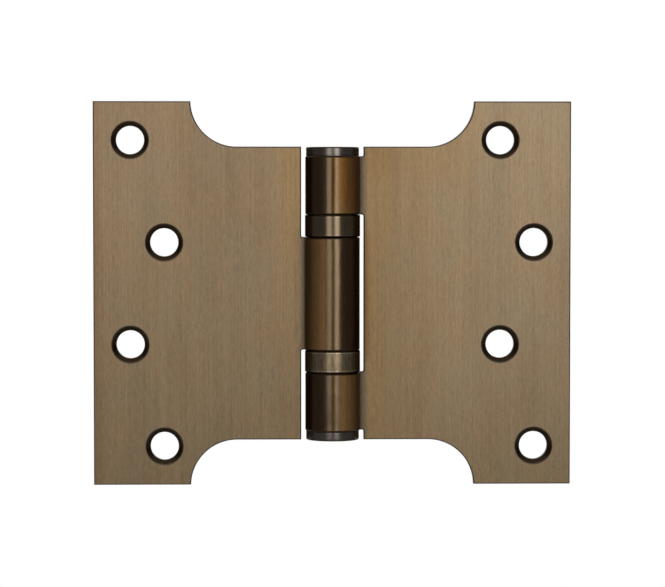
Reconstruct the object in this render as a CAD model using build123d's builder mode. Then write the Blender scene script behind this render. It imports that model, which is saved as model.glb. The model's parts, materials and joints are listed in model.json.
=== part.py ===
from build123d import *
from math import acos, atan2, cos, degrees, hypot, radians, sin, tan
import os

# Parliament hinge, laid open flat.
# The origin is on the pin axis at mid height, Z runs up the pin, +X points to the frame leaf
# and the countersunk faces look towards -Y. All sizes are in millimetres.

# Leaves
leaf_height = 102.0
open_width = 127.0
leaf_thickness = 3.0
closed_gap = 1.5
neck_height = 78.0
pad_width = 25.8
shoulder_radius = 12.3
notch_clearance = 1.05
notch_corner_radius = 0.4
leaf_edge_chamfer = 0.25

# Rolled knuckles
knuckle_radius = 7.25
middle_knuckle_length = 30.0
outer_knuckle_length = 15.5
knuckle_end_chamfer = 0.45
swage_angle = 40.0
swage_tab = 0.75
seam_gap = 0.25

# Screw holes
screw_hole_radius = 3.75
countersink_radius = 5.0
countersink_angle = 90.0
screw_pitch = 27.15
outer_column_inset = 9.8
column_spacing = 9.0
screws_per_leaf = 4

# Pin and its caps
pin_clearance = 0.05
pin_end_gap = 0.2
cap_thickness = 2.4
cap_radius = 7.03
cap_chamfer = 0.3
cap_spigot_length = 4.0
cap_spigot_clearance = 0.02

# Ball bearings
bearing_height = 5.9
end_play = 0.05
cup_radius = 7.32
cup_sheet = 0.7
cup_edge_chamfer = 0.25
cup_bore_clearance = 0.2
lip_setback = 0.12
race_boss_radius = 5.8
race_clearance = 0.08
ball_radius = 1.588 / 2
ball_play = 0.02
ball_count = 8
cage_thickness = 0.8
cage_clearance = 0.1
pocket_clearance = 0.06
pocket_sides = 8
ball_facet_angle = 45

# Worked out from the sizes above
leaf_reach = open_width / 2
face_y = closed_gap / 2
back_y = face_y + leaf_thickness
middle_y = (face_y + back_y) / 2
notch_x = knuckle_radius + notch_clearance
bend_x = notch_x - swage_tab
pad_x = leaf_reach - pad_width
inner_column_inset = outer_column_inset + column_spacing
bore_radius = knuckle_radius - leaf_thickness
roll_radius = knuckle_radius - leaf_thickness / 2
pin_radius = bore_radius - pin_clearance

# The stack along the pin: the play lies between the upper bearing and the top knuckle
middle_top = middle_knuckle_length / 2
middle_bottom = -middle_top
top_knuckle_bottom = middle_top + bearing_height + end_play
top_knuckle_top = top_knuckle_bottom + outer_knuckle_length
bottom_knuckle_top = middle_bottom - bearing_height
bottom_knuckle_bottom = bottom_knuckle_top - outer_knuckle_length

os.makedirs("parts", exist_ok=True)

# The sheet bends back by the swage angle beside the notch edge, runs straight, and rolls
# round the pin until its tip comes to within the seam gap of the bend. The slope is tangent
# to the roll, so the bend's radius follows from the place where the bend begins.
slope_x = roll_radius * sin(radians(swage_angle))
slope_y = roll_radius * cos(radians(swage_angle))
corner_x = slope_x + (slope_y - middle_y) / tan(radians(swage_angle))
bend_radius = (bend_x - corner_x) / tan(radians(swage_angle / 2))
bend_centre_y = middle_y + bend_radius
bend_centre_reach = hypot(bend_x, bend_centre_y)
tip_reach = bend_radius + leaf_thickness / 2 + seam_gap
tip_turn = acos(
    (knuckle_radius**2 + bend_centre_reach**2 - tip_reach**2)
    / (2 * knuckle_radius * bend_centre_reach)
)
roll_angle = 270 + swage_angle + degrees(atan2(bend_centre_y, bend_x) - tip_turn)


# One rolled knuckle on the +X side, open at its seam, with its outer end edges broken
def rolled_knuckle(bottom, top):
    with BuildPart() as knuckle:
        with BuildSketch(Plane.XY.offset(bottom)):
            with BuildLine():
                bend = JernArc((bend_x, middle_y), (-1, 0), bend_radius, -swage_angle)
                slope = Line(bend @ 1, (slope_x, slope_y))
                JernArc(slope @ 1, slope % 1, roll_radius, roll_angle)
            trace(line_width=leaf_thickness)
        extrude(amount=top - bottom)
        rims = knuckle.edges().filter_by(GeomType.CIRCLE)
        chamfer(rims.filter_by(lambda rim: abs(rim.radius - knuckle_radius) < 0.001), knuckle_end_chamfer)
    return knuckle.part


# The flat plate on the +X side: a wide pad, a narrower neck with round shoulders, and a
# short tab towards each knuckle, with rounded corners in the notches between the tabs. The
# edges of the face that shows are broken
def leaf_plate(knuckle_spans):
    with BuildPart() as plate:
        with BuildSketch(Plane.XZ.offset(-back_y)) as outline:
            with Locations(((notch_x + leaf_reach) / 2, 0)):
                Rectangle(leaf_reach - notch_x, leaf_height)
            cut_height = leaf_height - neck_height + 2 * shoulder_radius
            cut_middle = (neck_height + cut_height) / 2
            with Locations((notch_x, cut_middle), (notch_x, -cut_middle)):
                RectangleRounded(2 * (pad_x - notch_x), cut_height, shoulder_radius, mode=Mode.SUBTRACT)
            for bottom, top in knuckle_spans:
                with Locations(((bend_x + notch_x) / 2, (bottom + top) / 2)):
                    Rectangle(swage_tab, top - bottom)
            neck_end = neck_height / 2
            notch_corners = outline.vertices().group_by(Axis.X)[1]
            inside_neck = notch_corners.filter_by(lambda corner: abs(corner.Y) < neck_end - 0.001)
            notch_wall = min(neck_end - abs(corner.Y) for corner in inside_neck)
            fillet(inside_neck, min(notch_corner_radius, notch_wall / 2))
        extrude(amount=leaf_thickness)
        rims = plate.faces().sort_by(Axis.Y)[0].edges()
        chamfer(rims.filter_by(lambda rim: rim.center().X > bend_x + 0.001), leaf_edge_chamfer)
    return plate.part


# A whole leaf on the +X side, with its screw holes staggered between two columns
def hinge_leaf(knuckle_spans, column_insets):
    with BuildPart() as leaf:
        add(leaf_plate(knuckle_spans))
        for bottom, top in knuckle_spans:
            add(rolled_knuckle(bottom, top))
        with Locations(Plane.XZ.offset(-face_y)):
            for row in range(screws_per_leaf):
                height = ((screws_per_leaf - 1) / 2 - row) * screw_pitch
                with Locations((leaf_reach - column_insets[row % 2], height)):
                    CounterSinkHole(
                        screw_hole_radius,
                        countersink_radius,
                        depth=leaf_thickness,
                        counter_sink_angle=countersink_angle,
                    )
    return leaf.part


with BuildPart() as frame_leaf:
    add(
        hinge_leaf(
            [(bottom_knuckle_bottom, bottom_knuckle_top), (top_knuckle_bottom, top_knuckle_top)],
            (inner_column_inset, outer_column_inset),
        )
    )
frame_leaf.part.label = "frame_leaf"
export_step(frame_leaf.part, "parts/frame_leaf.step")

with BuildPart() as door_leaf:
    add(hinge_leaf([(middle_bottom, middle_top)], (outer_column_inset, inner_column_inset)))
    mirror(about=Plane.YZ, mode=Mode.REPLACE)
door_leaf.part.label = "door_leaf"
export_step(door_leaf.part, "parts/door_leaf.step")

# The pin fills the barrel between the two cap spigots
pin_bottom = bottom_knuckle_bottom + cap_spigot_length + pin_end_gap
pin_top = top_knuckle_top - cap_spigot_length - pin_end_gap
with BuildPart() as hinge_pin:
    with BuildSketch(Plane.XY.offset(pin_bottom)):
        Circle(pin_radius)
    extrude(amount=pin_top - pin_bottom)
hinge_pin.part.label = "hinge_pin"
export_step(hinge_pin.part, "parts/hinge_pin.step")


# A cap: a disc on the knuckle's end face with a spigot pressed into its bore
def pin_cap(name, seat):
    with BuildPart() as cap:
        with BuildSketch(seat):
            Circle(cap_radius)
        extrude(amount=cap_thickness)
        chamfer(cap.faces().sort_by(Axis(seat.origin, seat.z_dir))[-1].edges(), cap_chamfer)
        with BuildSketch(seat):
            Circle(bore_radius - cap_spigot_clearance)
        extrude(amount=-cap_spigot_length)
    cap.part.label = name
    export_step(cap.part, f"parts/{name}.step")


pin_cap("pin_cap_top", Plane.XY.offset(top_knuckle_top))
pin_cap("pin_cap_bottom", Plane.XY.offset(bottom_knuckle_bottom).reverse())


# A ball bearing that stands on a knuckle's end face at the given height. Its cup is drawn
# from sheet: the floor, on top, is the upper track, and the lip that is crimped in below
# keeps the thick lower race in. The race's boss stands proud of the lip.
def ball_bearing(name, base):
    cup_inside = cup_radius - cup_sheet
    upper_track = base + bearing_height - cup_sheet
    ball_centre = upper_track - ball_play - ball_radius
    lower_track = ball_centre - ball_radius - ball_play
    lip_bottom = base + lip_setback
    lip_top = lip_bottom + cup_sheet
    pitch_radius = (pin_radius + cup_inside) / 2

    with BuildPart() as cup:
        with BuildSketch(Plane.XY.offset(lip_bottom)):
            Circle(cup_radius)
        extrude(amount=bearing_height - lip_setback)
        chamfer(cup.edges(), cup_edge_chamfer)
        with BuildSketch(Plane.XY.offset(lip_top)):
            Circle(cup_inside)
        extrude(amount=upper_track - lip_top, mode=Mode.SUBTRACT)
        with BuildSketch(Plane.XY.offset(lip_bottom)):
            Circle(race_boss_radius + race_clearance)
        extrude(amount=cup_sheet, mode=Mode.SUBTRACT)
        with BuildSketch(Plane.XY.offset(upper_track)):
            Circle(pin_radius + cup_bore_clearance)
        extrude(amount=cup_sheet, mode=Mode.SUBTRACT)
    cup.part.label = f"{name}_cup"
    export_step(cup.part, f"parts/{name}_cup.step")

    with BuildPart() as race:
        with BuildSketch(Plane.XY.offset(base)):
            Circle(race_boss_radius)
        extrude(amount=lower_track - base)
        with BuildSketch(Plane.XY.offset(lip_top + race_clearance)):
            Circle(cup_inside - race_clearance)
        extrude(amount=lower_track - lip_top - race_clearance)
        with BuildSketch(Plane.XY.offset(base)):
            Circle(pin_radius + cup_bore_clearance)
        extrude(amount=bearing_height, mode=Mode.SUBTRACT)
    race.part.label = f"{name}_race"
    export_step(race.part, f"parts/{name}_race.step")

    with BuildPart() as cage:
        with BuildSketch(Plane.XY.offset(ball_centre - cage_thickness / 2)):
            Circle(cup_inside - cage_clearance)
            Circle(pin_radius + cage_clearance, mode=Mode.SUBTRACT)
            with PolarLocations(pitch_radius, ball_count):
                RegularPolygon(
                    ball_radius + pocket_clearance,
                    pocket_sides,
                    major_radius=False,
                    mode=Mode.SUBTRACT,
                )
        extrude(amount=cage_thickness)
    cage.part.label = f"{name}_cage"
    export_step(cage.part, f"parts/{name}_cage.step")

    # Many-sided balls: sixteen of them in the two bearings are kept light
    ball_corners = [(0, 0, -ball_radius), (0, 0, ball_radius)]
    for latitude in range(-90 + ball_facet_angle, 90, ball_facet_angle):
        for longitude in range(0, 360, ball_facet_angle):
            corner = Vector(ball_radius, 0, 0).rotate(Axis.Y, latitude).rotate(Axis.Z, longitude)
            ball_corners.append(corner)
    for number, spot in enumerate(PolarLocations(pitch_radius, ball_count), start=1):
        with BuildPart(Plane.XY.offset(ball_centre)) as ball:
            with Locations(spot):
                ConvexPolyhedron(ball_corners)
        ball.part.label = f"{name}_ball_{number}"
        export_step(ball.part, f"parts/{name}_ball_{number}.step")


ball_bearing("upper_bearing", middle_top)
ball_bearing("lower_bearing", bottom_knuckle_top)
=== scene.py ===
import json
import math
import bmesh
import bpy
from bpy.props import FloatProperty, FloatVectorProperty, IntProperty, PointerProperty
from bpy.types import Operator, Panel, PropertyGroup
from mathutils import Matrix, Vector


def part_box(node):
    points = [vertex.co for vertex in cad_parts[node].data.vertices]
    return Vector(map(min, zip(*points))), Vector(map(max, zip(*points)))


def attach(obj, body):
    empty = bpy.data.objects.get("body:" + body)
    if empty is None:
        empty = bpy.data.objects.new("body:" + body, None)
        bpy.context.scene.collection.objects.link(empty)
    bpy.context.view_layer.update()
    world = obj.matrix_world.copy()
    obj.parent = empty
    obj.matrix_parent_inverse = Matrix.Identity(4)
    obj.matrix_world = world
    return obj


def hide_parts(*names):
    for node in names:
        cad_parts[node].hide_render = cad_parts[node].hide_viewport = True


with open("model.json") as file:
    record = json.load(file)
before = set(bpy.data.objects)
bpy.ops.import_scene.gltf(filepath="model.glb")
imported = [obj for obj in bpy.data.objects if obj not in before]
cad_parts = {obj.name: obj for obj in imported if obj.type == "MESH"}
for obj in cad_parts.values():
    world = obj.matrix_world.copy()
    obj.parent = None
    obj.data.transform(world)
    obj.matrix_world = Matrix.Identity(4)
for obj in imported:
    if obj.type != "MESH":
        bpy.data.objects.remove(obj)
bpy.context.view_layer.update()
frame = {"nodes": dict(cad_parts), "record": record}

bl_info = {
    "name": "Parliament hinge",
    "version": (1, 0, 0),
    "blender": (4, 5, 0),
    "location": "3D View > Sidebar > Hinge",
    "description": "Dresses a ball bearing parliament hinge: brushed leaves, caps, bearings and studio",
    "category": "Object",
}

MM = 0.001
SLACK = 0.01 * MM  # how far two places may differ and still count as the same
WELD = 1e-7  # how near to each other points are merged, in metres
BEARINGS = ("upper_bearing", "lower_bearing")
SCRATCHED = {"upper_bearing": 0.15, "lower_bearing": 1.0}  # how strongly each cup is marked
BALLS = [name.rsplit("_", 1)[1] for name in sorted(frame["nodes"]) if name.startswith("upper_bearing_ball_")]

# The leaves' mesh: material slots, holes, and steps of the rounded and bent parts.
BRUSHED, DARK, SHEARED = 0, 1, 2
HOLE_ROWS = 4
HOLE_MARGIN = 0.05 * MM
SHOULDER_STEPS = 24
NOTCH_STEPS = 6
SWAGE_STEPS = 8
KNUCKLE_END_STEPS = 5
FRONT_EDGE_STEPS = 3
FINE_EDGE_STEPS = 2

# How much of a face's direction lies along an axis, from 0 to 1.
LYING = 0.9999
LEANING = 0.9
STANDING = 0.01
CAP_ROUNDING = (0.05, 0.99)

# The other pieces' mesh.
CORNER_STEPS = 4
BALL_SUBDIVISIONS = 4
SMOOTH_BELOW = math.radians(38)
NORMAL_WEIGHT = 100

# The stage.
FLOOR_REACH = 12  # from its middle to an edge, in metres
FLOOR_GRAINS = (3, 3, 3)
FLOOR_LIGHT, FLOOR_DARK = (0.93, 0.93, 0.93), (0.9, 0.9, 0.9)
FLOOR_ROUGHNESS = 0.8
WHITE, WORLD_GREY = (1, 1, 1), (0.5, 0.5, 0.5)
SCREEN_LIFT = 0.01  # how far the dark screen stands off the floor, in metres
SCREEN_STEPS = 48
SENSOR_WIDTH = 36
CLIP_START, CLIP_END = 0.01, 50


def fade(near_end, far_end):
    """The two ends of a zone's edge, given in millimetres."""
    return near_end * MM, far_end * MM


# Zones of the brushed leaves. Across is from the pin's axis, up from the leaf's middle.
# Painted shade: a grey strip on the plate beside the knuckles, for their dark reflection in it.
STRIP_ACROSS = fade(7.25, 9.2)  # grey strip beside the knuckles
STRIP_SHIFT = 0.4 * MM  # off the middle knuckle: wider on the frame's leaf, narrower on the door's
NOTCH_UP = fade(16, 19)  # beside the middle knuckle
# Painted dark reflection of the barrel on the leaves' inner edge beside the middle knuckle, strongest on the
# frame's leaf.
NOTCH_RIM_ACROSS = fade(10.6, 8.4)
KNUCKLE_SIDE_ACROSS = fade(11, 9)
WARM_ACROSS = fade(19, 8)
DOOR_WARM_UP = fade(-20, 20)
OUTER_RIM_ACROSS = fade(60.5, 63)
NECK_ACROSS = fade(34, 44)
NECK_TOP_UP = fade(28, 34)
HUE_ACROSS = fade(11, 40)
HUE_UP = fade(-45, 45)
# Painted light: the leaves are brighter at their top and darker at their foot, falling off downwards.
LIGHT_UP = fade(-51, 51)
LIGHT = (0.92, 1.08)  # brightness at the leaf's foot and top
# Painted shade beside the barrel, deepening upwards, and a painted light band further out, on the necks.
FRAME_DARK_UP = fade(-20, 35)
FRAME_DARK_ACROSS = fade(8.5, 10.5)
FRAME_LIGHT_ACROSS = fade(12, 28)
DOOR_DARK_UP = fade(-5, 15)
DOOR_DARK_ACROSS = fade(12, 16)
FRAME_DARK, FRAME_LIGHT, DOOR_DARK = -0.13, 0.05, -0.06  # change of brightness on the necks

# Zones of the rolled knuckles. Across is positive on their own leaf's side.
ROLL_REACH = fade(7.28, 7.36)
TOP_KNUCKLE_UP = fade(18, 26)  # the topmost knuckle, where the painted reflection on its own side is warmer
TOP_KNUCKLE_SHIFT = 0.4 * MM  # how much nearer to the middle its bright side begins
TOP_KNUCKLE_ACROSS = fade(4.6, 6.4)
# Painted reflection of each knuckle's own lit leaf, on that side of the roll.
OWN_ACROSS = fade(0.9, 2.9)
# Painted shade: the knuckles are darker beyond the middle and on their flanks.
FAR_ACROSS = fade(-1, -4)
FLANK_ACROSS = fade(4.8, 7.2)
FAR_FLANK_ACROSS = fade(-5.6, -7)
# Painted reflection: a warmer, darker tint along the dark line between the two highlights at the knuckle's
# middle.
CORE_ACROSS = fade(0.8, 0.2)
OWN_ROUGHER = 0.24  # how much rougher the bright side is

# Relief of the brushing, in millimetres.
GRAIN_RELIEF = 0.008
WAVE_RELIEF = 0.12

# Red, green and blue of each zone, as shares of the plain bronze.
WARM_CLOUD = (1.02, 0.985, 0.965)
COOL_CLOUD = (0.98, 1.01, 1.035)
WARM_NECK = (1.04, 0.97, 0.82)
NECK_TOP = (1.0, 0.95, 0.87)
# painted dark reflection of the barrel beside the middle knuckle
NOTCH_SHADE = (0.7, 0.54, 0.36)
OUTER_RIM = (0.88, 0.77, 0.78)
# painted shade of the strip beside the knuckles
STRIP_SHADE = (0.4, 0.46, 0.56)
ROLL = (0.5, 0.5, 0.54)
# painted shade beyond the knuckle's middle
ROLL_FAR = (0.42, 0.35, 0.34)
ROLL_CORE = (0.48, 0.43, 0.33)
ROLL_TOP_KNUCKLE_CORE = (0.38, 0.28, 0.16)

# What differs between the brushed faces. A pair of tints is for the leaf's foot and top.
LEAF_LOOKS = {
    "frame": {
        "side": 1,
        "inner_tints": ((1.02, 1.01, 0.99), (0.99, 0.955, 0.88)),
        "outer_tints": ((0.99, 1.01, 1.045), (1.01, 1.05, 1.13)),
        "notch_rim": 1.0,
        "outer_rim": 0.2,
    },
    "door": {
        "side": -1,
        "tints": ((0.96, 0.975, 1.0), (0.96, 0.965, 1.01)),
        "notch_rim": 0.15,
        "outer_rim": 0.8,
    },
}


def length(label, text, metres):
    """A length property, in metres."""
    return FloatProperty(
        name=label, description=text, default=metres, min=0, precision=5, unit="LENGTH", subtype="DISTANCE"
    )


def tint(label, text, colour):
    """A linear colour property."""
    return FloatVectorProperty(
        name=label, description=text, default=colour, min=0, max=1, size=3, subtype="COLOR"
    )


def amount(label, text, value, top=1.0):
    """A plain number property."""
    return FloatProperty(name=label, description=text, default=value, min=0, max=top)


def turn_pair(label, text, degrees):
    """A pair of angles, given in degrees."""
    return FloatVectorProperty(
        name=label, description=text, default=[math.radians(a) for a in degrees], size=2, subtype="EULER"
    )


def node_low(node):
    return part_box(node)[0]


def node_high(node):
    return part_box(node)[1]


def node_radius(node):
    """Outer radius of a turned node, which its CAD facets show a little smaller along one axis."""
    return min(node_high(node).x, node_high(node).y)


class HingeLeafSizes(PropertyGroup):
    """Sizes of the two blanked and rolled leaves."""

    reach: length("Reach", "From the pin's axis to a leaf's outer edge", node_high("frame_leaf").x)
    height: length("Height", "Height of a leaf", node_high("frame_leaf").z - node_low("frame_leaf").z)
    thickness: length("Sheet", "Thickness of the sheet", 3.0 * MM)
    face: length("Face", "From the pin's axis back to the countersunk face", 0.75 * MM)
    neck: length("Neck", "Height of the narrow part beside the barrel", 78.0 * MM)
    pad: length("Pad", "Width of the wide part with the screw holes", 25.8 * MM)
    shoulder: length("Shoulder", "Radius between neck and pad", 12.3 * MM)
    notch: length("Notch", "Clearance of the neck beside the barrel", 1.05 * MM)
    notch_corner: length("Notch corner", "Radius of the corners beside the knuckles", 0.4 * MM)
    front_edge: length("Front edge", "Rounding of the brushed face's edge", 0.32 * MM)
    back_edge: length("Back edge", "Rounding of the back face's edge", 0.12 * MM)
    hole: length("Hole", "Radius of a screw hole", 3.75 * MM)
    countersink: length("Countersink", "Radius of a countersink at the face", 5.0 * MM)
    countersink_edge: length("Countersink edge", "Rounding of a countersink's rim", 0.1 * MM)
    pitch: length("Screw pitch", "Height between screw holes", 27.15 * MM)
    outer_column: length("Outer column", "From the outer edge to the outer holes", 9.8 * MM)
    inner_column: length("Inner column", "From the outer edge to the inner holes", 18.8 * MM)
    hole_segments: IntProperty(name="Hole segments", description="Steps round a hole", default=64, min=12)


class HingeKnuckleSizes(PropertyGroup):
    """Sizes of the rolled knuckles."""

    radius: length("Radius", "Outer radius of a knuckle", 7.25 * MM)
    middle: length("Middle knuckle", "Length of the door leaf's knuckle", 30.0 * MM)
    outer: length("Outer knuckles", "Length of each of the frame leaf's knuckles", 15.5 * MM)
    end_round: length("End rounding", "Rounding of a knuckle's outer end edges", 0.45 * MM)
    swage_tab: length("Swage tab", "Flat tab beside the notch, before the bend", 0.75 * MM)
    swage: FloatProperty(
        name="Swage", description="Angle of the bend", default=math.radians(40), subtype="ANGLE"
    )
    seam: length("Seam", "Gap between the sheet's tip and the bend", 0.25 * MM)
    roll_segments: IntProperty(name="Roll segments", description="Steps round a roll", default=84, min=12)


class HingePinSizes(PropertyGroup):
    """Sizes of the pin and its caps."""

    pin_edge: length("Pin edge", "Rounding of the pin's ends", 0.4 * MM)
    cap: length("Cap", "Thickness of a cap's head", 2.4 * MM)
    cap_edge: length("Cap edge", "Rounding of a cap's outer edge", 0.32 * MM)
    cap_seat: length("Cap seat", "Rounding of a cap's edge next to the knuckle", 0.08 * MM)
    spigot: length("Spigot", "Radius of a cap's spigot inside the knuckle", 4.23 * MM)
    spigot_edge: length("Spigot edge", "Rounding of the spigot's end", 0.3 * MM)
    segments: IntProperty(name="Segments", description="Steps round a turned piece", default=96, min=12)


class HingeBearingSizes(PropertyGroup):
    """Sizes of the two ball bearings."""

    bore: length("Bore", "Radius of the bore round the pin", 4.4 * MM)
    sheet: length("Cup sheet", "Thickness of the drawn cup", 0.7 * MM)
    cup_edge: length("Cup edge", "Rounding of the cup's outer edges", 0.3 * MM)
    cup_inside: length("Cup inside", "Rounding inside the cup", 0.12 * MM)
    lip: length("Lip", "Radius of the opening in the cup's turned-in lip", 5.88 * MM)
    boss: length("Boss", "Radius of the race's boss in that opening", 5.8 * MM)
    boss_height: length("Boss height", "Height of the race's boss", 0.9 * MM)
    race_edge: length("Race edge", "Rounding of the race's edges", 0.12 * MM)
    cage_inside: length("Cage inside", "Inner radius of the ball cage", 4.3 * MM)
    pocket: length("Pocket", "Radius of a pocket in the cage", 0.854 * MM)
    segments: IntProperty(name="Segments", description="Steps round a bearing", default=112, min=12)
    pocket_segments: IntProperty(
        name="Pocket segments", description="Steps round a pocket", default=28, min=8
    )


class HingeFinish(PropertyGroup):
    """Colours and roughness of the finishes."""

    bronze: tint("Bronze", "Brushed antique bronze", (0.27, 0.19, 0.107))
    # Painted reflection: the knuckles' colour on their own leaf's side stands for the reflection of that lit
    # leaf; the next is the same on the topmost knuckle.
    own_leaf_reflection: tint("Warm bronze", "Knuckle on its own leaf's side", (0.25, 0.14, 0.056))
    top_knuckle_reflection: tint("Top knuckle reflection", "The same side of the topmost knuckle", (0.26, 0.127, 0.036))
    # The next two are partly patina, partly painted shade: dark edges and countersinks.
    dark_bronze: tint("Dark bronze", "Patina and painted shade on edges and in countersinks", (0.033, 0.0197, 0.0096))
    edge: tint("Edge", "Rounded front edges of the leaves", (0.092, 0.076, 0.058))
    # Painted light on the door leaf's outer edge, brighter than the other dark edges.
    door_edge_light: tint("Door edge light", "The same at the door leaf's outer edge", (0.14, 0.113, 0.085))
    cap: tint("Cap", "Turned pin caps", (0.175, 0.153, 0.13))
    shell: tint("Bearing shell", "Drawn bearing cups", (0.165, 0.123, 0.077))
    # Painted highlight lines near the bearing cups' rims.
    shell_rim_highlight: tint("Shell rim", "Painted highlight lines at the rims of the bearing cups", (0.45, 0.39, 0.31))
    steel: tint("Steel", "Pin, races and balls", (0.56, 0.55, 0.54))
    brass: tint("Brass", "Ball cages", (0.6, 0.42, 0.16))
    leaf_roughness: amount("Leaf roughness", "Roughness of the brushed faces", 0.38)
    barrel_roughness: amount("Barrel roughness", "Roughness of the rolled knuckles", 0.2)
    edge_roughness: amount("Edge roughness", "Roughness of dark edges and countersinks", 0.42)
    sheared_roughness: amount("Sheared roughness", "Roughness of the sheet's cut edges", 0.4)
    cap_roughness: amount("Cap roughness", "Roughness of the pin caps", 0.22)
    shell_roughness: amount("Shell roughness", "Roughness of the bearing cups", 0.19)
    pin_roughness: amount("Pin roughness", "Roughness of the pin", 0.22)
    ball_roughness: amount("Ball roughness", "Roughness of the balls and races", 0.12)
    brass_roughness: amount("Brass roughness", "Roughness of the ball cages", 0.3)


class HingeStudio(PropertyGroup):
    """Camera, lamps and stage."""

    camera_distance: length("Camera distance", "From the pin to the camera", 0.7)
    camera_side: FloatProperty(
        name="Camera side", description="Camera's place along X", default=-0.017, unit="LENGTH"
    )
    camera_height: length("Camera height", "Camera's height over the pin's middle", 0.0306)
    lens: FloatProperty(name="Lens", description="Focal length", default=142.8, unit="CAMERA")
    floor_depth: length("Floor depth", "How far the floor lies under the pin's middle", 0.35)
    floor_fade: length("Floor fade", "Where the floor begins to pass into the white backdrop", 0.3)
    floor_white: length("Floor white", "Where the floor has passed into the white backdrop", 1.2)
    lamp_distance: length("Lamp distance", "From the pin to the softboxes", 0.95)
    lamp_radiance: amount("Lamp strength", "Brightness of the softboxes, where 1 is white", 2.2, 50)
    lamp_tall: length("Lamp height", "Height of each softbox", 0.8)
    lamp_middle: length("Lamp middle", "Height of the softboxes' middle over the pin's middle", 0.278)
    left_lamp: turn_pair("Left softbox", "Angles of its edges, seen from the pin", (-24.5, -5.3))
    right_lamp: turn_pair("Right softbox", "Angles of its edges, seen from the pin", (8.5, 26.3))
    left_share: amount("Left share", "Brightness of the left softbox beside the lamp strength", 0.81, 4)
    right_share: amount("Right share", "Brightness of the right softbox beside the lamp strength", 1.24, 4)
    screen_grey: amount("Screen grey", "Brightness of the dark screen round the front", 0.14)
    screen_radius: length("Screen radius", "From the pin to the screen", 1.3)
    screen_top: length("Screen top", "Height of the screen's upper edge", 1.0)
    screen_turn: FloatProperty(
        name="Screen turn", description="How far the screen reaches round each side", subtype="ANGLE",
        default=math.radians(122),
    )


class Wire:
    """A shader socket that takes part in Python sums; each sum adds its Math node."""

    def __init__(self, shader, socket):
        self.shader = shader
        self.socket = socket

    def sum(self, operation, left, right):
        return self.shader.add("Math", {"operation": operation}, {0: left, 1: right})

    def __add__(self, other):
        return self.sum("ADD", self, other)

    def __radd__(self, other):
        return self.sum("ADD", other, self)

    def __sub__(self, other):
        return self.sum("SUBTRACT", self, other)

    def __rsub__(self, other):
        return self.sum("SUBTRACT", other, self)

    def __mul__(self, other):
        return self.sum("MULTIPLY", self, other)

    def __rmul__(self, other):
        return self.sum("MULTIPLY", other, self)

    def __pow__(self, other):
        return self.sum("POWER", self, other)

    def __abs__(self):
        return self.sum("ABSOLUTE", self, 0.0)


class Shader:
    """Builds the nodes of a new material, or of a world."""

    def __init__(self, name, world=None):
        self.owner = world or bpy.data.materials.new(name)
        self.owner.use_nodes = True
        self.tree = self.owner.node_tree
        self.tree.nodes.clear()

    def add(self, kind, settings=None, sockets=None, output=0):
        """Adds a node with its settings first, then its sockets, and returns one of its outputs."""
        node = self.tree.nodes.new("ShaderNode" + kind)
        for key, value in (settings or {}).items():
            setattr(node, key, value)
        for key, value in (sockets or {}).items():
            if isinstance(value, Wire):
                self.tree.links.new(value.socket, node.inputs[key])
            else:
                node.inputs[key].default_value = value
        return Wire(self, node.outputs[output]) if len(node.outputs) else None

    def place(self):
        """Object coordinates, in metres."""
        return self.add("TexCoord", output="Object")

    def axis(self, vector, letter):
        return self.add("SeparateXYZ", sockets={0: vector}, output=letter)

    def reach(self, place):
        """Distance from the pin's axis."""
        return (self.axis(place, "X") ** 2.0 + self.axis(place, "Y") ** 2.0) ** 0.5

    def noise(self, vector, grains, detail=2.0, roughness=0.5):
        """Noise from 0 to 1 with so many grains a metre along X, Y and Z."""
        stretched = self.add("Mapping", sockets={"Vector": vector, "Scale": grains})
        return self.add(
            "TexNoise", sockets={"Vector": stretched, "Scale": 1.0, "Detail": detail, "Roughness": roughness}
        )

    def spread(self, value, low, high, to_low=0.0, to_high=1.0, kind="LINEAR"):
        """Carries a value's span over to another span, without leaving it."""
        return self.add(
            "MapRange",
            {"clamp": True, "interpolation_type": kind},
            {"Value": value, "From Min": low, "From Max": high, "To Min": to_low, "To Max": to_high},
        )

    def mix(self, factor, first, second, kind="MIX"):
        """A colour between two colours."""
        settings = {"data_type": "RGBA", "blend_type": kind}
        return self.add("Mix", settings, {0: factor, 6: colour4(first), 7: colour4(second)}, output=2)

    def shade(self, colour, factor):
        """A colour multiplied by a number."""
        return self.add("VectorMath", {"operation": "SCALE"}, {0: colour, "Scale": factor})

    def seen(self):
        """1 for rays from the camera, also by way of metal or glass, and 0 for those that only light."""
        kinds = ("Camera", "Glossy", "Transmission")
        return sum(self.add("LightPath", output=f"Is {kind} Ray") for kind in kinds)

    def bump(self, height, distance):
        """A relief that stands a distance high where the height is 1."""
        return self.add("Bump", sockets={"Height": height, "Distance": distance})

    def metal(self, colour, roughness, normal, anisotropy=0.0, edge_tint=1.0):
        """Ends the material in a metal surface. edge_tint darkens what it reflects at a flat angle."""
        surface = self.add(
            "BsdfPrincipled",
            sockets={
                "Base Color": colour,
                "Metallic": 1.0,
                "Roughness": roughness,
                "Anisotropic": anisotropy,
                "Specular Tint": colour4((edge_tint,) * 3),
                "Normal": normal,
            },
        )
        self.add("OutputMaterial", sockets={"Surface": surface})
        return self.owner


def colour4(value):
    return value if isinstance(value, Wire) else (*value, 1.0)


def toned(colour, shares):
    """A colour with its red, green and blue each times their own share, or all times one."""
    shares = shares if isinstance(shares, tuple) else (shares,) * 3
    return tuple(part * share for part, share in zip(colour, shares))


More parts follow.
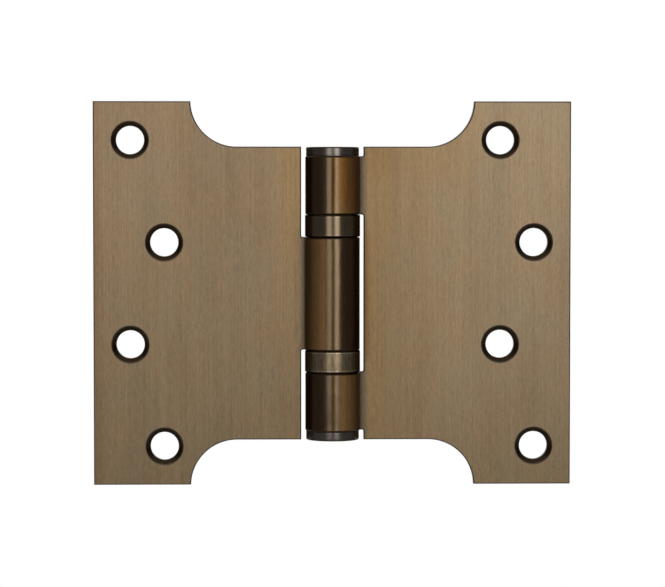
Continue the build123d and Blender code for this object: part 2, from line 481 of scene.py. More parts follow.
def plate_colour(s, finish, look, across, height, cloud):
    """Colour of a leaf's brushed plate: warm beside the barrel and darker in its outer rim, with a painted
    dark reflection of the barrel beside the middle knuckle, painted shade in a strip beside the knuckles,
    painted shade and a painted light band on the necks, and painted light that falls off towards its foot.
    """
    frame_side = look["side"] > 0
    bronze = finish.bronze
    neck = s.spread(across, *NECK_ACROSS, 1.0, 0.0)
    notch = s.spread(abs(height), *NOTCH_UP, 1.0, 0.0)
    colour = s.mix(s.spread(cloud, 0.35, 0.65), toned(bronze, WARM_CLOUD), toned(bronze, COOL_CLOUD))

    upward = s.spread(height, *HUE_UP)
    if frame_side:
        inner = s.mix(upward, *look["inner_tints"])
        outer = s.mix(upward, *look["outer_tints"])
        hue = s.mix(s.spread(across, *HUE_ACROSS), inner, outer)
    else:
        hue = s.mix(upward, *look["tints"])
    colour = s.mix(1.0, colour, hue, "MULTIPLY")

    own_zone = 1 - notch if frame_side else notch
    warmth = s.spread(across, *WARM_ACROSS, kind="SMOOTHSTEP")
    warmth = warmth * (1 - own_zone * s.spread(across, *KNUCKLE_SIDE_ACROSS, 0.0, 0.9))
    if not frame_side:
        warmth = warmth * s.spread(height, *DOOR_WARM_UP, 0.4, 1.0)
    colour = s.mix(warmth, colour, toned(bronze, WARM_NECK))
    # painted dark reflection of the barrel beside the middle knuckle
    notch_rim = s.spread(across, *NOTCH_RIM_ACROSS, 0.0, look["notch_rim"]) * notch
    colour = s.mix(notch_rim, colour, toned(bronze, NOTCH_SHADE))
    outer_rim = s.spread(across, *OUTER_RIM_ACROSS, 0.0, look["outer_rim"])
    colour = s.mix(outer_rim, colour, toned(bronze, OUTER_RIM))

    if frame_side:
        colour = s.mix(neck * s.spread(height, *NECK_TOP_UP), colour, NECK_TOP, "MULTIPLY")
        # painted shade beside the barrel, deepening upwards, and a painted light band further out
        darker = s.spread(height, *FRAME_DARK_UP, 0.0, FRAME_DARK) * s.spread(across, *FRAME_DARK_ACROSS)
        change = darker + (FRAME_LIGHT - darker) * s.spread(across, *FRAME_LIGHT_ACROSS)
    else:
        # painted shade on the door's upper neck
        change = s.spread(height, *DOOR_DARK_UP, 0.0, DOOR_DARK) * s.spread(across, *DOOR_DARK_ACROSS)
    # painted light falling off towards the foot, times the necks' painted shade and painted light band
    colour = s.shade(colour, s.spread(height, *LIGHT_UP, *LIGHT) * (1 + change * neck))
    # painted shade: the strip beside the knuckles, for their dark reflection in the plate
    strip_edge = across - (1 - notch) * (look["side"] * STRIP_SHIFT)
    return s.mix(s.spread(strip_edge, *STRIP_ACROSS, 1.0, 0.0), colour, toned(bronze, STRIP_SHADE))


def knuckle_colour(s, finish, own, top_knuckle, across):
    """Colour of a rolled knuckle: a painted reflection of its own lit leaf on that side, painted shade
    beyond the middle and on its flanks, and a painted tint along the dark line between its highlights.
    """
    bronze = finish.bronze
    # painted reflection of the knuckle's own lit leaf on that side
    own_colour = s.mix(
        top_knuckle * s.spread(across, *TOP_KNUCKLE_ACROSS, 1.0, 0.0), finish.own_leaf_reflection, finish.top_knuckle_reflection
    )
    colour = s.mix(own, toned(bronze, ROLL), own_colour)
    # painted shade beyond the middle
    far = s.spread(across, *FAR_ACROSS, kind="SMOOTHSTEP")
    colour = s.mix(far, colour, toned(bronze, ROLL_FAR))
    # painted tint along the dark reflected line at the middle
    core = s.spread(abs(across), *CORE_ACROSS)
    colour = s.mix(core, colour, s.mix(top_knuckle, toned(bronze, ROLL_CORE), toned(bronze, ROLL_TOP_KNUCKLE_CORE)))
    # painted shade on the flanks
    flank_shade = s.spread(abs(across), *FLANK_ACROSS, 1.0, 0.55)
    far_flank = s.spread(across, *FAR_FLANK_ACROSS, 1.0, 0.75)
    return s.shade(colour, flank_shade * far_flank)


def brushed_bronze(finish, leaf):
    """Brushed face of the door's or the frame's leaf, and of its rolled knuckles."""
    look = LEAF_LOOKS[leaf]
    s = Shader("brushed_bronze_" + leaf)
    place = s.place()
    across = s.axis(place, "X") * look["side"]
    height = s.axis(place, "Z")
    fine = s.noise(place, (3600, 3600, 1200), detail=1.0)
    streak = s.noise(place, (2400, 2400, 15), detail=1.0)
    fleck = s.noise(place, (2400, 2400, 400), detail=1.0)
    band = s.noise(place, (170, 170, 22))
    cloud = s.noise(place, (110, 110, 70))
    wave = s.noise(place, (130, 130, 110), detail=1.0)
    tone = 1.0
    for noise, strength in ((fine, 0.36), (streak, 0.34), (fleck, 0.39), (band, 0.27)):
        tone = tone + (noise - 0.5) * strength

    on_roll = s.spread(s.reach(place), *ROLL_REACH, 1.0, 0.0)
    top_knuckle = s.spread(height, *TOP_KNUCKLE_UP)
    own = s.spread(across + top_knuckle * TOP_KNUCKLE_SHIFT, *OWN_ACROSS, kind="SMOOTHSTEP")
    plate = plate_colour(s, finish, look, across, height, cloud)
    colour = s.mix(on_roll, plate, knuckle_colour(s, finish, own, top_knuckle, across))
    roll_roughness = finish.barrel_roughness + own * OWN_ROUGHER
    roughness = finish.leaf_roughness + on_roll * (roll_roughness - finish.leaf_roughness)
    roughness = roughness + (streak - 0.5) * 0.06 + (fleck - 0.5) * 0.06
    grain = (fine * 0.5 + streak * 0.3 + fleck * 0.2) * GRAIN_RELIEF
    relief = s.bump(grain + wave * on_roll * WAVE_RELIEF, MM)
    return s.metal(s.shade(colour, tone), roughness, relief, anisotropy=0.5, edge_tint=0.5)


def dark_bronze(finish):
    """Rounded edges and countersinks: partly the dark oxide that the brushing left, partly painted shade;
    the door leaf's outer edge gets painted light.
    """
    s = Shader("dark_bronze_edges")
    place = s.place()
    cloud = s.noise(place, (900, 900, 900), detail=3.0, roughness=0.6)
    shear = s.noise(place, (2600, 500, 2600))
    plate = s.spread(abs(s.axis(place, "X")), *fade(7.6, 8))
    # the plates' rounded front edges take the edge colour: partly patina, partly painted shade
    rim = plate * s.spread(s.axis(place, "Y"), *fade(0.92, 1.08), 1.0, 0.0)
    # painted light on the door leaf's outer edge
    door_outer_edge = s.spread(s.axis(place, "X"), *fade(-62.8, -63.1))
    rim_colour = s.mix(door_outer_edge, finish.edge, finish.door_edge_light)
    colour = s.mix(cloud, finish.dark_bronze, toned(finish.dark_bronze, 1.6))
    colour = s.shade(s.mix(rim, colour, rim_colour), 0.75 + shear * 0.5)
    return s.metal(colour, finish.edge_roughness + (cloud - 0.5) * 0.2, s.bump(shear, 0.02 * MM))


def sheared_bronze(finish):
    """Cut edges of the sheet, plated but not brushed, with the marks of the shear across them."""
    s = Shader("sheared_bronze")
    place = s.place()
    cloud = s.noise(place, (700, 700, 700))
    shear = s.noise(place, (2200, 260, 2200))
    depth = s.spread(s.axis(place, "Y"), *fade(1.4, 2.6), 1.0, 0.72, "SMOOTHSTEP")
    tone = depth * (0.85 + (cloud - 0.5) * 0.3 + (shear - 0.5) * 0.5)
    colour = s.shade(toned(finish.bronze, 0.62), tone)
    return s.metal(colour, finish.sheared_roughness + (shear - 0.5) * 0.15, s.bump(shear, 0.015 * MM))


def turned_cap(finish):
    """Dark turned caps with fine rings."""
    s = Shader("turned_cap")
    place = s.place()
    rings = s.add("CombineXYZ", sockets={"X": s.reach(place), "Y": s.axis(place, "Z")})
    turning = s.noise(rings, (2600, 1700, 0))
    cloud = s.noise(place, (420, 420, 420))
    colour = s.shade(s.mix(cloud, finish.cap, toned(finish.cap, 0.8)), 0.6 + turning * 0.8)
    roughness = finish.cap_roughness + (turning - 0.5) * 0.08
    return s.metal(colour, roughness, s.bump(turning, 0.006 * MM), anisotropy=0.3, edge_tint=0.6)


def bearing_shell(finish, name, scratched):
    """Drawn bearing cup, with painted highlight lines near its rims, painted shade on its flanks, and partly
    oxide, partly painted shade at its edges. scratched is how strongly the brushing has marked it.
    """
    s = Shader(name + "_shell")
    low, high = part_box(name + "_cup")
    place = s.place()
    height = s.axis(place, "Z")
    scratch = s.noise(place, (3200, 3200, 260), detail=3.0, roughness=0.7)
    blotch = s.noise(place, (900, 900, 300), detail=3.0, roughness=0.65)
    half = (high.z - low.z) / 2
    edge = abs(height - (low.z + high.z) / 2)
    # painted highlight lines near the cup's rims
    rim = s.spread(edge, half - 0.75 * MM, half - 0.5 * MM, kind="SMOOTHSTEP")
    # partly patina, partly painted shade at the cup's outer edges, in the joints with the knuckles
    patina_and_shade = s.spread(edge, half - 0.45 * MM, half - 0.25 * MM)
    tone = 1.0 + 0.42 * scratched + (scratch - 0.5) * (0.2 + 1.7 * scratched)
    tone = tone + (blotch - 0.5) * 1.5 * scratched
    # painted shade on the cup's flanks
    flank_shade = s.spread(abs(s.axis(place, "X")), *fade(4.5, 7), 1.0, 0.6)
    colour = s.mix(rim * (0.1 + 0.3 * scratched), finish.shell, finish.shell_rim_highlight)
    colour = s.shade(s.mix(patina_and_shade, colour, finish.dark_bronze), tone * flank_shade)
    roughness = finish.shell_roughness + 0.1 * scratched + (scratch - 0.5) * 0.15
    relief = s.bump(scratch, (0.003 + 0.009 * scratched) * MM)
    return s.metal(colour, roughness, relief, anisotropy=0.3, edge_tint=0.3)


def plain_metal(name, colour, roughness, grains):
    """Machined metal of the inner pieces, with a fine turned grain of so many grains a metre."""
    s = Shader(name)
    grain = s.noise(s.place(), (grains, grains, grains * 3), roughness=0.6)
    tone = s.shade(s.mix(grain, colour, toned(colour, 0.9)), 0.95 + grain * 0.1)
    return s.metal(tone, roughness + (grain - 0.5) * 0.1, s.bump(grain, 0.004 * MM))


def finish_of(name, make, *values):
    """A material, made once and then found by its name."""
    return bpy.data.materials.get(name) or make(*values)


def polished_steel(finish):
    """Balls and races."""
    values = (finish.steel, finish.ball_roughness, 700)
    return finish_of("polished_steel", plain_metal, "polished_steel", *values)


def near(a, b):
    return abs(a - b) < SLACK


def parts_of(geometry, kind):
    """The vertices, edges or faces among an operator's results."""
    return [g for g in geometry if isinstance(g, kind)]


def everything(bm):
    return bm.verts[:] + bm.edges[:] + bm.faces[:]


def turn(bm, geometry, angle, steps, centre=(0, 0, 0), merge=False):
    """Draws geometry round an upright axis and returns what ends up at the far end."""
    return bmesh.ops.spin(
        bm, geom=geometry, cent=centre, axis=(0, 0, 1), dvec=(0, 0, 0), angle=angle, steps=steps,
        use_merge=merge, use_normal_flip=False, use_duplicate=False,
    )["geom_last"]


def turn_faces(bm, faces, centre, angle, steps):
    """Carries faces round an upright axis, with their walls behind them, and returns the last ones."""
    last = turn(bm, faces, angle, steps, centre)
    bmesh.ops.delete(bm, geom=[f for f in faces if f.is_valid], context="FACES_ONLY")
    return parts_of(last, bmesh.types.BMFace)


def round_edges(bm, edges, radius, segments, material):
    """Rounds edges with a rolling radius, in a finish of their own."""
    rounded = bmesh.ops.bevel(
        bm, geom=edges, offset=radius, offset_type="OFFSET", segments=segments, profile=0.5,
        affect="EDGES", clamp_overlap=True, material=-1, loop_slide=False,
    )
    for face in rounded["faces"]:
        face.material_index = material


def round_corners(bm, corners, radius, segments):
    """Rounds the corners of a flat outline or a bare profile."""
    bmesh.ops.bevel(
        bm, geom=corners, offset=radius, offset_type="OFFSET", segments=segments, profile=0.5,
        affect="VERTICES", clamp_overlap=False, material=-1,
    )


def cut_level(bm, height, side):
    """Cuts off all that lies past a height; side is 1 above and -1 below."""
    bmesh.ops.bisect_plane(
        bm, geom=everything(bm), dist=WELD, plane_co=(0, 0, height), plane_no=(0, 0, side), clear_outer=True
    )


def leaf_mesh(leaf, knuckle, spans, columns):
    """A leaf that lies on +X: blanked plate, countersunk holes, and tabs swaged and rolled round the pin."""
    notch_x = knuckle.radius + leaf.notch
    bend_x = notch_x - knuckle.swage_tab
    pad_x = leaf.reach - leaf.pad
    neck_z = leaf.neck / 2
    end_z = leaf.height / 2
    beyond = end_z + leaf.shoulder
    face_y = leaf.face
    back_y = face_y + leaf.thickness
    middle_y = (face_y + back_y) / 2

    outline = [(notch_x, neck_z), (pad_x, neck_z), (pad_x, beyond), (leaf.reach, beyond)]
    outline += [(leaf.reach, -beyond), (pad_x, -beyond), (pad_x, -neck_z), (notch_x, -neck_z)]
    for low, high in sorted(spans):
        outline += [(notch_x, low), (bend_x, low), (bend_x, high), (notch_x, high)]
    bm = bmesh.new()
    bm.faces.new([bm.verts.new((x, face_y, z)) for x, z in outline])
    shoulders = [v for v in bm.verts if near(v.co.x, pad_x) and near(abs(v.co.z), neck_z)]
    round_corners(bm, shoulders, leaf.shoulder, SHOULDER_STEPS)
    inner = [v for v in bm.verts if near(v.co.x, notch_x) and abs(v.co.z) < neck_z - SLACK]
    round_corners(bm, inner, leaf.notch_corner, NOTCH_STEPS)
    cut_level(bm, end_z, 1)
    cut_level(bm, -end_z, -1)

    bmesh.ops.delete(bm, geom=bm.faces[:], context="FACES_ONLY")
    upright = Matrix.Rotation(math.pi / 2, 4, "X")
    centres = []
    for row in range(HOLE_ROWS):
        above_middle = (HOLE_ROWS - 1) / 2 - row
        centres.append(Vector((leaf.reach - columns[row % 2], face_y, above_middle * leaf.pitch)))
        bmesh.ops.create_circle(
            bm, cap_ends=False, segments=leaf.hole_segments, radius=leaf.countersink,
            matrix=Matrix.Translation(centres[-1]) @ upright,
        )
    fill_and_thicken(bm, (0, -1, 0), (0, leaf.thickness, 0))

    sink_depth = leaf.countersink - leaf.hole
    for centre in centres:
        wall = [f for f in bm.faces if near_hole(f.calc_center_median(), centre, leaf) and not lies_flat(f)]
        geometry = {g for f in wall for g in (f, *f.edges, *f.verts)}
        bmesh.ops.bisect_plane(
            bm, geom=list(geometry), dist=WELD, plane_co=(0, face_y + sink_depth, 0), plane_no=(0, 1, 0)
        )
        narrow = [v for v in bm.verts if near_hole(v.co, centre, leaf) and v.co.y > face_y + SLACK]
        ratio = leaf.hole / leaf.countersink
        bmesh.ops.scale(bm, vec=(ratio, 1, ratio), space=Matrix.Translation(-centre), verts=narrow)
    bmesh.ops.recalc_face_normals(bm, faces=bm.faces[:])

    roll_r = knuckle.radius - leaf.thickness / 2
    slope = Vector((roll_r * math.sin(knuckle.swage), roll_r * math.cos(knuckle.swage)))
    corner_x = slope.x + (slope.y - middle_y) / math.tan(knuckle.swage)
    bend_r = (bend_x - corner_x) / math.tan(knuckle.swage / 2)
    bend_centre = Vector((bend_x, middle_y + bend_r))
    tip_reach = bend_r + leaf.thickness / 2 + knuckle.seam
    far = bend_centre.length
    tip_turn = math.acos((knuckle.radius**2 + far**2 - tip_reach**2) / (2 * knuckle.radius * far))
    roll_turn = 1.5 * math.pi + knuckle.swage + math.atan2(bend_centre.y, bend_centre.x) - tip_turn
    for low, high in spans:
        tip = [
            f for f in bm.faces
            if all(near(v.co.x, bend_x) for v in f.verts) and low < f.calc_center_median().z < high
        ]
        tip = turn_faces(bm, tip, (*bend_centre, 0), -knuckle.swage, SWAGE_STEPS)
        start = sum((f.calc_center_median() for f in tip), Vector()) / len(tip)
        grown = bmesh.ops.extrude_face_region(bm, geom=tip)["geom"]
        bmesh.ops.delete(bm, geom=[f for f in tip if f.is_valid], context="FACES_ONLY")
        straight = Vector((slope.x, slope.y, start.z)) - start
        bmesh.ops.translate(bm, vec=straight, verts=parts_of(grown, bmesh.types.BMVert))
        turn_faces(bm, parts_of(grown, bmesh.types.BMFace), (0, 0, 0), roll_turn, knuckle.roll_segments)

    bmesh.ops.recalc_face_normals(bm, faces=bm.faces[:])
    # Faces off the flat plate, the countersinks among them, take the dark finish: partly patina, partly
    # painted shade.
    for face in bm.faces:
        centre = face.calc_center_median()
        brushed = lies_flat(face) or centre.x < bend_x + SLACK
        face.material_index = BRUSHED if brushed and abs(face.normal.z) < LEANING else DARK

    ends = [z for span in spans for z in span]
    rims = [
        e for e in bm.edges
        if all(near(v.co.xy.length, knuckle.radius) for v in e.verts)
        and any(all(near(v.co.z, z) for v in e.verts) for z in ends)
    ]
    # The knuckles' rounded ends and the plates' rounded edges take the dark finish: partly patina, partly
    # painted shade.
    round_edges(bm, rims, knuckle.end_round, KNUCKLE_END_STEPS, DARK)
    front = [e for e in bm.edges if on_rim(e, face_y, bend_x) and not on_hole(e, centres, leaf)]
    round_edges(bm, front, leaf.front_edge, FRONT_EDGE_STEPS, DARK)
    sinks = [e for e in bm.edges if on_rim(e, face_y, bend_x) and on_hole(e, centres, leaf)]
    round_edges(bm, sinks, leaf.countersink_edge, FINE_EDGE_STEPS, DARK)
    back = [e for e in bm.edges if on_rim(e, back_y, bend_x)]
    round_edges(bm, back, leaf.back_edge, FINE_EDGE_STEPS, DARK)
    beside_notch = (notch_x + leaf.notch / 2, 0, 0)
    bmesh.ops.bisect_plane(bm, geom=everything(bm), dist=WELD, plane_co=beside_notch, plane_no=(1, 0, 0))
    for face in bm.faces:
        centre = face.calc_center_median()
        in_hole = any(near_hole(centre, hole, leaf) for hole in centres)
        if lies_flat(face) and centre.x > bend_x:
            face.material_index = BRUSHED
        elif abs(face.normal.y) < STANDING and centre.x > bend_x and not in_hole:
            face.material_index = SHEARED
    return bm


def fill_and_thicken(bm, facing, depth):
    """Fills flat outlines with their holes and gives the sheet its thickness."""
    bmesh.ops.triangle_fill(bm, use_beauty=True, use_dissolve=False, edges=bm.edges[:], normal=facing)
    pushed = bmesh.ops.extrude_face_region(bm, geom=bm.faces[:], use_keep_orig=True)["geom"]
    bmesh.ops.translate(bm, vec=depth, verts=parts_of(pushed, bmesh.types.BMVert))


def lies_flat(face):
    """Whether a face is one of the plate's two flat faces, by its direction."""
    return abs(face.normal.y) > LYING


def near_hole(place, centre, leaf):
    return (place.xz - centre.xz).length < leaf.countersink + HOLE_MARGIN


def on_hole(edge, centres, leaf):
    return any(all(near_hole(v.co, centre, leaf) for v in edge.verts) for centre in centres)


def on_rim(edge, level, bend_x):
    """Whether an edge bounds the plate's flat face at a level."""
    if not all(near(v.co.y, level) for v in edge.verts) or len(edge.link_faces) != 2:
        return False
    if not all(v.co.x > bend_x - SLACK for v in edge.verts):
        return False
    if all(near(v.co.x, bend_x) for v in edge.verts):
        return False
    return min(abs(f.normal.y) for f in edge.link_faces) < LEANING


def turned_mesh(corners, steps):
    """A piece turned round the pin's axis. Each corner is (radius, height, rounding)."""
    bm = bmesh.new()
    verts = [bm.verts.new((radius, 0, height)) for radius, height, rounding in corners]
    bm.faces.new(verts)
    for radius, height, rounding in corners:
        if rounding:
            corner = [v for v in bm.verts if (v.co - Vector((radius, 0, height))).length < WELD]
            round_corners(bm, corner, rounding, CORNER_STEPS)
    on_axis = [e for e in bm.edges if all(v.co.x < WELD for v in e.verts)]
    bmesh.ops.delete(bm, geom=bm.faces[:], context="FACES_ONLY")
    if on_axis:
        bmesh.ops.delete(bm, geom=on_axis, context="EDGES")
    turn(bm, everything(bm), math.tau, steps, merge=True)
    bmesh.ops.remove_doubles(bm, verts=bm.verts[:], dist=WELD)
    bmesh.ops.recalc_face_normals(bm, faces=bm.faces[:])
    return bm


def add_piece(name, bm, materials, body, node):
    """Makes a finished piece of a mesh: smooth, riding on its body, in place of its CAD node."""
    mesh = bpy.data.meshes.new(name)
    bm.to_mesh(mesh)
    bm.free()
    for material in materials:
        mesh.materials.append(material)
    mesh.shade_smooth()
    mesh.set_sharp_from_angle(angle=SMOOTH_BELOW)
    piece = bpy.data.objects.new(name, mesh)
    bpy.context.scene.collection.objects.link(piece)
    weighted = piece.modifiers.new("even_normals", "WEIGHTED_NORMAL")
    weighted.weight = NORMAL_WEIGHT
    weighted.keep_sharp = True
    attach(piece, body)
    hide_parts(node)
    return piece


def keep_flat(piece, from_x):
    """Shades the plate's flat faces as flat, so that no bend or rounded edge tints them."""
    for face in piece.data.polygons:
        if lies_flat(face) and abs(face.center.x) > from_x:
            face.use_smooth = False


def body_of_node(node):
    return next(body for body, nodes in frame["record"]["behaviour"]["bodies"].items() if node in nodes)


def dress(node, bm, materials):
    return add_piece(node + "_finish", bm, materials, body_of_node(node), node)


class HINGE_OT_leaves(Operator):
    """Blanks, countersinks and rolls both leaves"""

    bl_idname = "hinge.leaves"
    bl_label = "Leaves"

    def execute(self, context):
        scene = context.scene
        leaf, knuckle, finish = scene.hinge_leaf, scene.hinge_knuckle, scene.hinge_finish
        middle = knuckle.middle / 2
        if node_low("upper_bearing_race").z < middle - SLACK:
            raise RuntimeError("the middle knuckle is longer than the room between the bearings")
        top = node_high("pin_cap_top").z - scene.hinge_pin.cap
        bottom = node_low("lower_bearing_race").z
        spans = [(bottom - knuckle.outer, bottom), (top - knuckle.outer, top)]
        edges = (dark_bronze(finish), sheared_bronze(finish))
        bm = leaf_mesh(leaf, knuckle, spans, (leaf.inner_column, leaf.outer_column))
        keep_flat(dress("frame_leaf", bm, (brushed_bronze(finish, "frame"), *edges)), knuckle.radius)
        bm = leaf_mesh(leaf, knuckle, [(-middle, middle)], (leaf.outer_column, leaf.inner_column))
        bmesh.ops.scale(bm, vec=(-1, 1, 1), verts=bm.verts[:])
        bmesh.ops.recalc_face_normals(bm, faces=bm.faces[:])
        keep_flat(dress("door_leaf", bm, (brushed_bronze(finish, "door"), *edges)), knuckle.radius)
        return {"FINISHED"}


class HINGE_OT_pin(Operator):
    """Turns the pin and its two caps"""

    bl_idname = "hinge.pin"
    bl_label = "Pin and caps"

    def execute(self, context):
        finish, pin = context.scene.hinge_finish, context.scene.hinge_pin
        low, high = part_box("hinge_pin")
        radius = node_radius("hinge_pin")
        corners = [
            (0, low.z, 0), (radius, low.z, pin.pin_edge), (radius, high.z, pin.pin_edge), (0, high.z, 0)
        ]
        steel = plain_metal("ground_steel", finish.steel, roughness=finish.pin_roughness, grains=900)
        dress("hinge_pin", turned_mesh(corners, pin.segments), (steel,))
        for node, side in (("pin_cap_top", 1), ("pin_cap_bottom", -1)):
            low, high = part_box(node)
            radius = node_radius(node)
            outer, inner = (high.z, low.z) if side > 0 else (low.z, high.z)
            seat = outer - side * pin.cap
            corners = [
                (0, outer, 0),
                (radius, outer, pin.cap_edge),
                (radius, seat, pin.cap_seat),
                (pin.spigot, seat, 0),
                (pin.spigot, inner, pin.spigot_edge),
                (0, inner, 0),
            ]
            bm = turned_mesh(corners, pin.segments)
            # the caps' rounded rims take the dark finish: partly patina, partly painted shade
            for face in bm.faces:
                rounded = CAP_ROUNDING[0] < abs(face.normal.z) < CAP_ROUNDING[1]
                face.material_index = int(rounded)
            edge = finish_of("dark_bronze_edges", dark_bronze, finish)
            dress(node, bm, (finish_of("turned_cap", turned_cap, finish), edge))
        return {"FINISHED"}


class HINGE_OT_bearings(Operator):
    """Draws the bearings' cups and turns their races"""

    bl_idname = "hinge.bearings"
    bl_label = "Bearings"

    def execute(self, context):
        finish, bearing = context.scene.hinge_finish, context.scene.hinge_bearing
        for name in BEARINGS:
            low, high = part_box(name + "_cup")
            outside = node_radius(name + "_cup")
            inside = outside - bearing.sheet
            floor, lip = high.z - bearing.sheet, low.z + bearing.sheet
            corners = [
                (outside, low.z, bearing.cup_edge),
                (outside, high.z, bearing.cup_edge),
                (bearing.bore, high.z, bearing.cup_inside),
                (bearing.bore, floor, bearing.cup_inside),
                (inside, floor, bearing.cup_inside),
                (inside, lip, bearing.cup_inside),
                (bearing.lip, lip, bearing.cup_inside),
                (bearing.lip, low.z, bearing.cup_inside),
            ]
            shell = bearing_shell(finish, name, SCRATCHED[name])
            dress(name + "_cup", turned_mesh(corners, bearing.segments), (shell,))
            low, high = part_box(name + "_race")
            outside, step = node_radius(name + "_race"), low.z + bearing.boss_height
            corners = [
                (bearing.boss, low.z, bearing.race_edge),
                (bearing.boss, step, 0),
                (outside, step, bearing.race_edge),
                (outside, high.z, bearing.race_edge),
                (bearing.bore, high.z, bearing.race_edge),
                (bearing.bore, low.z, bearing.race_edge),
            ]
            dress(name + "_race", turned_mesh(corners, bearing.segments), (polished_steel(finish),))
        return {"FINISHED"}


class HINGE_OT_balls(Operator):
    """Makes the balls and the cages that space them"""

    bl_idname = "hinge.balls"
    bl_label = "Balls and cages"

    def execute(self, context):
        finish, bearing = context.scene.hinge_finish, context.scene.hinge_bearing
        steel = polished_steel(finish)
        brass = plain_metal("pressed_brass", finish.brass, roughness=finish.brass_roughness, grains=1200)
        for name in BEARINGS:
            centres = []
            for number in BALLS:
                node = f"{name}_ball_{number}"
                low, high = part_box(node)
                centres.append((low + high) / 2)
                radius = (high.z - low.z) / 2
                bm = bmesh.new()
                bmesh.ops.create_icosphere(
                    bm, subdivisions=BALL_SUBDIVISIONS, radius=radius, matrix=Matrix.Translation(centres[-1])
                )
                dress(node, bm, (steel,))
            low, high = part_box(name + "_cage")
            bm = bmesh.new()
            base = Matrix.Translation((0, 0, low.z))
            for radius in (node_radius(name + "_cage"), bearing.cage_inside):
                bmesh.ops.create_circle(
                    bm, cap_ends=False, segments=bearing.segments, radius=radius, matrix=base
                )
            for centre in centres:
                bmesh.ops.create_circle(
                    bm, cap_ends=False, segments=bearing.pocket_segments, radius=bearing.pocket,
                    matrix=Matrix.Translation((centre.x, centre.y, low.z)),
                )
            fill_and_thicken(bm, (0, 0, 1), (0, 0, high.z - low.z))
            bmesh.ops.recalc_face_normals(bm, faces=bm.faces[:])
            dress(name + "_cage", bm, (brass,))
        return {"FINISHED"}


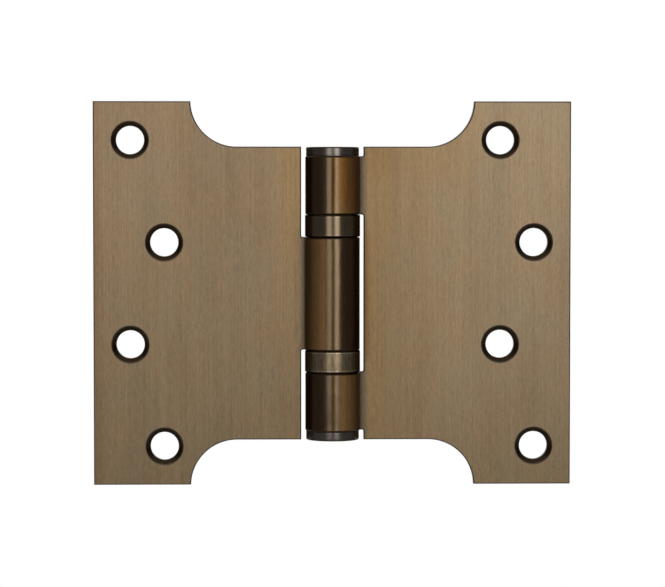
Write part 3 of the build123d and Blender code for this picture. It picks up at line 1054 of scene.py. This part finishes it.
class HINGE_OT_stage(Operator):
    """Sets the floor, the softboxes, the dark screens and the camera"""

    bl_idname = "hinge.stage"
    bl_label = "Stage"

    def execute(self, context):
        scene = context.scene
        studio = scene.hinge_studio
        self.floor(scene, studio)
        self.screens(scene, studio)
        self.lamps(scene, studio)
        self.camera(scene, studio)
        scene.world = bpy.data.worlds.new("white_studio")
        s = Shader("white_studio", scene.world)
        surface = s.add("Background", sockets={"Color": s.mix(s.seen(), WORLD_GREY, WHITE)})
        s.add("OutputWorld", sockets={"Surface": surface})
        scene.view_settings.view_transform = "Standard"
        return {"FINISHED"}

    def floor(self, scene, studio):
        bm = bmesh.new()
        below = Matrix.Translation((0, 0, -studio.floor_depth))
        bmesh.ops.create_grid(bm, x_segments=1, y_segments=1, size=FLOOR_REACH, matrix=below)
        floor = self.stage_mesh(scene, "pale_floor", bm)
        s = Shader("pale_floor")
        place = s.place()
        colour = s.mix(s.noise(place, FLOOR_GRAINS), FLOOR_LIGHT, FLOOR_DARK)
        matt = s.add("BsdfPrincipled", sockets={"Base Color": colour, "Roughness": FLOOR_ROUGHNESS})
        backdrop = s.add("Emission", sockets={"Color": colour4(WHITE), "Strength": 1.0})
        reach = s.reach(place)
        whiteness = s.seen() * s.spread(reach, studio.floor_fade, studio.floor_white, kind="SMOOTHSTEP")
        surface = s.add("MixShader", sockets={0: whiteness, 1: matt, 2: backdrop})
        s.add("OutputMaterial", sockets={"Surface": surface})
        floor.data.materials.append(s.owner)

    def screens(self, scene, studio):
        s = Shader("dark_screen")
        grey = studio.screen_grey
        surface = s.add("Emission", sockets={"Color": colour4((grey, grey, grey)), "Strength": 1.0})
        s.add("OutputMaterial", sockets={"Surface": surface})
        bm = bmesh.new()
        turned, radius = studio.screen_turn, studio.screen_radius
        x, y = -radius * math.sin(turned), -radius * math.cos(turned)
        start = [bm.verts.new((x, y, z)) for z in (SCREEN_LIFT - studio.floor_depth, studio.screen_top)]
        turn(bm, [bm.edges.new(start), *start], 2 * turned, SCREEN_STEPS)
        screen = self.stage_mesh(scene, "dark_screen", bm)
        screen.data.materials.append(s.owner)
        screen.visible_camera = False
        screen.visible_diffuse = False
        screen.visible_shadow = False

    def stage_mesh(self, scene, name, bm):
        mesh = bpy.data.meshes.new(name)
        bm.to_mesh(mesh)
        bm.free()
        thing = bpy.data.objects.new(name, mesh)
        scene.collection.objects.link(thing)
        return thing

    def lamps(self, scene, studio):
        reach = studio.lamp_distance
        boxes = (
            ("left_softbox", studio.left_lamp, studio.left_share),
            ("right_softbox", studio.right_lamp, studio.right_share),
        )
        for name, edges, share in boxes:
            left, right = (reach * math.tan(angle) for angle in edges)
            lamp = bpy.data.lights.new(name, "AREA")
            lamp.shape = "RECTANGLE"
            lamp.size = right - left
            lamp.size_y = studio.lamp_tall
            lamp.energy = share * studio.lamp_radiance * math.pi * lamp.size * lamp.size_y
            holder = bpy.data.objects.new(name, lamp)
            holder.location = ((left + right) / 2, -reach, studio.lamp_middle)
            holder.rotation_euler = (math.pi / 2, 0, 0)
            holder.visible_camera = False
            scene.collection.objects.link(holder)

    def camera(self, scene, studio):
        lens = bpy.data.cameras.new("camera")
        lens.lens = studio.lens
        lens.sensor_width = SENSOR_WIDTH
        lens.clip_start, lens.clip_end = CLIP_START, CLIP_END
        camera = bpy.data.objects.new("camera", lens)
        camera.location = (studio.camera_side, -studio.camera_distance, studio.camera_height)
        camera.rotation_mode = "QUATERNION"
        camera.rotation_quaternion = (-camera.location).to_track_quat("-Z", "Y")
        scene.collection.objects.link(camera)
        scene.camera = camera


class HINGE_PT_panel(Panel):
    """Lists the steps that dress the hinge"""

    bl_label = "Parliament hinge"
    bl_idname = "HINGE_PT_panel"
    bl_space_type = "VIEW_3D"
    bl_region_type = "UI"
    bl_category = "Hinge"

    def draw(self, context):
        for operator in OPERATORS:
            self.layout.operator(operator.bl_idname)
        for settings in PROPERTIES:
            box = self.layout.box()
            group = getattr(context.scene, settings)
            for name in group.bl_rna.properties.keys():
                if name not in ("rna_type", "name"):
                    box.prop(group, name)


OPERATORS = (HINGE_OT_leaves, HINGE_OT_pin, HINGE_OT_bearings, HINGE_OT_balls, HINGE_OT_stage)
PROPERTIES = {
    "hinge_leaf": HingeLeafSizes,
    "hinge_knuckle": HingeKnuckleSizes,
    "hinge_pin": HingePinSizes,
    "hinge_bearing": HingeBearingSizes,
    "hinge_finish": HingeFinish,
    "hinge_studio": HingeStudio,
}
CLASSES = (*PROPERTIES.values(), *OPERATORS, HINGE_PT_panel)


def register():
    for cls in CLASSES:
        bpy.utils.register_class(cls)
    for name, group in PROPERTIES.items():
        setattr(bpy.types.Scene, name, PointerProperty(type=group))


def unregister():
    for name in PROPERTIES:
        delattr(bpy.types.Scene, name)
    for cls in reversed(CLASSES):
        bpy.utils.unregister_class(cls)


def main():
    register()
    bpy.ops.hinge.leaves()
    bpy.ops.hinge.pin()
    bpy.ops.hinge.bearings()
    bpy.ops.hinge.balls()
    bpy.ops.hinge.stage()


if __name__ == "__main__":
    main()
